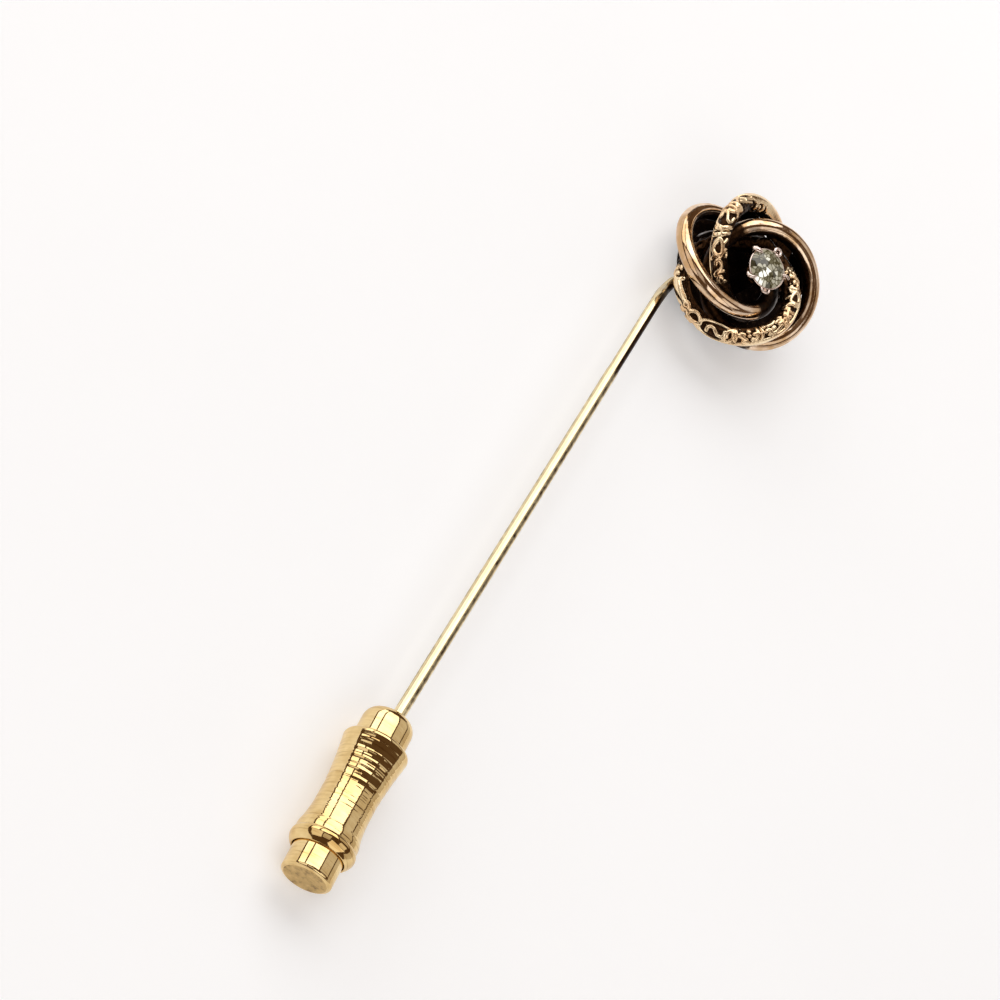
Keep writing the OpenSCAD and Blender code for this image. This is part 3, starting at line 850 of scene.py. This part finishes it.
def make_stone():
    """Old round cut: eight-sided table, crown facets, thin girdle and pavilion."""
    r = STONE_D / 2 - 0.01
    z0 = STONE_H
    n_a, n_r = 192, 44
    ang = np.arange(n_a) / n_a * 2 * math.pi

    def crown(x, y):
        """Height over the girdle: the lowest of the facets' planes."""
        out = np.full(x.shape, 0.46)
        for n, off, rise, slope in ((8, 7.0, 0.62, 0.52), (8, 29.5, 0.545, 0.40), (16, 18.25, 0.76, 0.70)):
            for k in range(n):
                a = math.radians(off + 360.0 * k / n)
                out = np.minimum(out, rise - slope * (x * math.cos(a) + y * math.sin(a)) / r)
        return out

    verts, facet_light, rows = [], [], []
    for k in range(1, n_r + 1):
        q = r * k / n_r
        x, y = q * np.cos(ang), q * np.sin(ang)
        verts.append(np.stack([x, y, z0 + np.maximum(0.045, crown(x, y))], -1))
    x, y = r * np.cos(ang), r * np.sin(ang)
    verts.append(np.stack([x, y, np.full(n_a, z0 - 0.05)], -1))
    for q, z in ((0.93, -0.13), (0.52, -0.62), (0.10, -1.16)):
        verts.append(np.stack([q * x, q * y, np.full(n_a, z0 + z)], -1))
    count = len(verts)
    grid = np.concatenate(verts)
    # painted tones: cells round the glints and round a regular set of smaller facets
    g = np.random.default_rng(5)
    cells = [[d * math.cos(math.radians(a)), d * math.sin(math.radians(a)), t, 0.10 if t > 0.93 else 0.04] for d, a, t in GLINTS]
    for n, d, off in ((8, 0.34, 10), (16, 0.60, 4), (16, 0.82, 15)):
        for k in range(n):
            a = math.radians(off + 360.0 * k / n + g.uniform(-5, 5))
            d2 = d + g.uniform(-0.03, 0.03)
            cells.append([d2 * math.cos(a), d2 * math.sin(a), g.uniform(0.26, 0.70), 0.0])
    cells = np.array(cells)
    px, py = grid[:, 0] / r, grid[:, 1] / r
    dist = np.hypot(px[:, None] - cells[None, :, 0], py[:, None] - cells[None, :, 1]) - cells[None, :, 3]
    order = np.argsort(dist, axis=1)
    first, second = order[:, 0], order[:, 1]
    rows = np.arange(len(grid))
    gap = dist[rows, second] - dist[rows, first]
    tone = cells[first, 2]
    line = 1 - smooth_step(0.010, 0.052, gap)
    facet_light = tone * (1 - 0.68 * line)
    facet_light = np.where(grid[:, 2] < z0 - 0.04, 0.18, facet_light)
    faces = grid_faces(count, n_a, wrap_u=False, wrap_v=True)
    top, low = len(grid), len(grid) + 1
    grid = np.vstack([grid, [0, 0, z0 + 0.46], [0, 0, z0 - 1.16]])
    facet_light = np.r_[facet_light, 0.55, 0.18]
    last = (count - 1) * n_a
    for k in range(n_a):
        k2 = (k + 1) % n_a
        faces.append([top, k, k2])
        faces.append([low, last + k2, last + k])
    obj = new_object("cut_stone", to_stone(grid), faces, smooth=False, values={"facet_light": facet_light})
    import bmesh
    bm = bmesh.new()
    bm.from_mesh(obj.data)
    bmesh.ops.recalc_face_normals(bm, faces=bm.faces)
    bm.to_mesh(obj.data)
    bm.free()
    return finish_piece(obj, "pin", "clear_stone", "stone")


# ------------------------------------------------------------------ clutch
def lathe(name, profile, sides=160, wobble=None, values=None, capped=False):
    """Profile of (distance, radius) turned about the clutch's axis. It closes on itself, or on the axis at both ends."""
    prof = np.asarray(profile, float)
    phi = np.linspace(0, 2 * math.pi, sides, endpoint=False)
    t = np.tile(prof[:, 0], (sides, 1))
    r = np.tile(prof[:, 1], (sides, 1))
    if wobble is not None:
        r = r + wobble(t, phi[:, None] + 0 * t)
    verts = on_clutch(t, r, phi[:, None] + 0 * t).reshape(-1, 3)
    n = len(prof)
    faces = [f[::-1] for f in grid_faces(sides, n, wrap_v=not capped)]
    if capped:
        a, b = len(verts), len(verts) + 1
        ends = on_clutch(np.array([prof[0, 0], prof[-1, 0]]), np.zeros(2), np.zeros(2))
        verts = np.vstack([verts, ends])
        for k in range(sides):
            k2 = (k + 1) % sides
            faces.append([a, k * n, k2 * n])
            faces.append([b, k2 * n + n - 1, k * n + n - 1])
    point = {key: np.r_[np.tile(fn(prof[:, 0], prof[:, 1]), sides), np.zeros(2 if capped else 0)] for key, fn in (values or {}).items()}
    return new_object(name, verts, faces, values=point)


def close_steps(points, step=0.05):
    """Adds points along long straight runs."""
    out = []
    for a, b in zip(points[:-1], points[1:]):
        a, b = np.array(a, float), np.array(b, float)
        n = max(1, int(np.linalg.norm(b - a) / step))
        for k in range(n):
            out.append(a + (b - a) * k / n)
    out.append(np.array(points[-1], float))
    return out


def sleeve_r(t):
    rim, waist = 2.45, 2.01
    if t <= 2.71:
        return rim - 0.42 * ((2.71 - t) / 0.76) ** 2
    if t <= 3.00:
        return rim - 0.13 * ((t - 2.71) / 0.29) ** 2
    if t <= 3.56:
        return rim - 0.13 - 0.02 * (t - 3.00)
    if t <= 6.80:
        return waist + (rim - 0.141 - waist) * ((6.80 - t) / 3.24) ** 3
    if t <= 10.89:
        return waist + (rim - waist) * ((t - 6.80) / 4.09) ** 1.6
    return rim - 0.16 + 0.16 * math.sqrt(max(0.0, 1 - ((t - 10.89) / 0.29) ** 2))


def make_sleeve():
    t = np.concatenate([np.arange(1.95, 11.0, 0.03), 10.89 + 0.29 * np.sin(np.linspace(0.38, math.pi / 2, 12))])
    outer = [(x, sleeve_r(x)) for x in t]
    inner = [(11.18, 1.99), (11.14, 1.965), (9.80, 1.96), (9.80, 1.60), (4.20, 1.60), (4.20, 1.94), (2.02, 1.94), (1.95, 1.97)]
    g = np.random.default_rng(11)
    lines = []
    # [from, to, how many, height in mm]: bands of turned lines
    for lo, hi, count, deep in ((2.0, 3.5, 10, 0.0045), (3.5, 5.6, 30, 0.0062), (5.6, 7.0, 20, 0.0056), (7.0, 10.8, 40, 0.0064)):
        for _ in range(count):
            lines.append((g.uniform(lo, hi), g.normal(0, deep), g.uniform(0.045, 0.12), g.uniform(0, 6.28), g.integers(1, 4)))
    n_outer = len(outer)

    def wobble(tt, phi):
        out = np.zeros_like(tt)
        for at, high, wide, phase, k in lines:
            out += high * np.exp(-((tt - at) / wide) ** 2) * (0.62 + 0.38 * np.sin(k * phi + phase))
        out[:, n_outer:] = 0
        return out

    obj = lathe("turned_sleeve", outer + inner, 170, wobble)
    return finish_piece(obj, "sleeve", "clutch_gilt", "clutch_sleeve")


def make_core():
    face_r, plug, nose, mouth, end, hole = 1.59, 1.88, 1.90, 1.03, 13.70, 0.82
    start = [(0.0, r) for r in (0.05, 0.5, 1.0, 1.4, 1.54)] + [(0.004, 1.585), (0.018, 1.635), (0.05, 1.72), (0.09, 1.80), (0.13, 1.845), (0.18, 1.868), (0.24, 1.879), (0.30, plug)]
    body = close_steps([(0.36, plug), (2.56, plug), (2.60, 1.85), (2.60, 1.55), (9.90, 1.55), (9.90, 1.86), (9.94, nose), (12.74, nose)], 0.10)
    round_top = [(end - 0.96 + 0.96 * math.sin(a), mouth + 0.06 + (nose - mouth - 0.06) * math.cos(a)) for a in np.radians(np.arange(5, 90, 5))]
    inside = close_steps([(end, mouth + 0.05), (end - 0.03, mouth), (end - 1.6, hole), (1.3, hole), (1.3, 0.05)], 0.2)
    prof = start + [tuple(p) for p in body] + round_top + [tuple(p) for p in inside]
    obj = lathe("clutch_body", prof, 150, capped=True,
                values={"dull": lambda t, r: np.where((t < 0.03) & (r < face_r), 0.75, 0.0)})
    return finish_piece(obj, "clutch", "clutch_gilt", "clutch_core")


# ------------------------------------------------------------------ build
make_stem()
for name, node, side, spec, slot, layout, edge, bright, seed in (
        ("ring_left", "ring_plain_left", 180, PLAIN, "rose_gold", None, None, (300, 138), 21),
        ("ring_right", "ring_plain_right", 0, PLAIN, "rose_gold", None, None, (300, 146), 22),
        ("ring_top", "ring_chased_top", 90, CHASED, "chased_gold", LAYOUT_TOP, EDGE_TOP, (345, 152), 23),
        ("ring_bottom", "ring_chased_bottom", 270, CHASED, "chased_gold", LAYOUT_BOTTOM, EDGE_BOTTOM, (284, 136), 24)):
    size = dict(nu=900, nv=104) if layout else dict(nu=420, nv=72)
    finish_piece(make_ring(name, side, spec, slot, layout, edge, bright, seed=seed, **size), "pin", slot, node)
make_setting()
make_stone()
make_sleeve()
make_core()

# the knot's plate: near-black, standing in for the shade inside the knot
base = NODES["knot_base"]
base.data.materials.clear()
base.data.materials.append(MAT["dark_gold"])

# ------------------------------------------------------------------ stage
half = 1.5
floor = new_object("floor", np.array([[-half, -half, -0.00001], [half, -half, -0.00001], [half, half, -0.00001], [-half, half, -0.00001]]) / MM,
                   [[0, 1, 2, 3]], smooth=False)
floor.data.materials.append(floor_material())


def area_light(name, angle, distance, wide, long, radiance, x, turned):
    """A soft box whose long side runs along X. angle is measured from +Y upwards, seen along X."""
    data = bpy.data.lights.new(name, "AREA")
    data.shape = "RECTANGLE"
    data.size = long
    data.size_y = wide
    data.energy = radiance * math.pi * wide * long
    data.color = (0.97, 0.985, 1.0)
    obj = bpy.data.objects.new(name, data)
    bpy.context.scene.collection.objects.link(obj)
    a = math.radians(angle)
    pos = Vector((x, distance * math.cos(a), distance * math.sin(a)))
    aim = Vector((x, 0, 0)) - pos
    z = -aim.normalized()
    xx = Vector((1, 0, 0))
    yy = z.cross(xx)
    obj.matrix_world = (Matrix.Translation(pos) @ Matrix((xx, yy, z)).transposed().to_4x4()
                        @ Matrix.Rotation(math.radians(turned), 4, "Z"))
    return obj


# Soft boxes: name, lowest and highest angle, from and to along X, radiance, turn in the panel's own plane
for name, low, high, x0, x1, radiance, turned in (
        ("soft_low", 5, 31.5, 0.085, 1.05, 2.1, 3),
        ("soft_mid", 36.5, 64.5, 0.125, 1.05, 2.2, 4),
        ("soft_top", 64.5, 97, 0.195, 1.00, 2.3, 4),
        ("soft_wide", 13, 50, -0.62, 0.030, 1.0, 0),
        ("soft_back", 54, 80, -0.46, -0.03, 0.55, 0),
        ("soft_crown", 112, 140, -0.24, 0.03, 0.9, 0),
        ("soft_far", 105, 150, 0.24, 1.0, 0.60, 0),
        ("soft_left", 86, 148, -1.30, -0.30, 1.25, 0),
        ("soft_side", 156, 180, -0.4, 1.0, 0.55, 0)):
    wide = 1.2 * math.tan(math.radians(high - low) / 2)
    area_light(name, (low + high) / 2, 0.60, wide, x1 - x0, radiance, (x0 + x1) / 2, turned)

world = bpy.data.worlds.new("studio")
world.use_nodes = True
bg = world.node_tree.nodes["Background"]
bg.inputs["Color"].default_value = (0.110, 0.066, 0.036, 1.0)
bg.inputs["Strength"].default_value = 1.0
bpy.context.scene.world = world
bpy.context.scene.view_settings.view_transform = "Standard"
bpy.context.scene.view_settings.look = "None"
bpy.context.scene.view_settings.exposure = 0.0
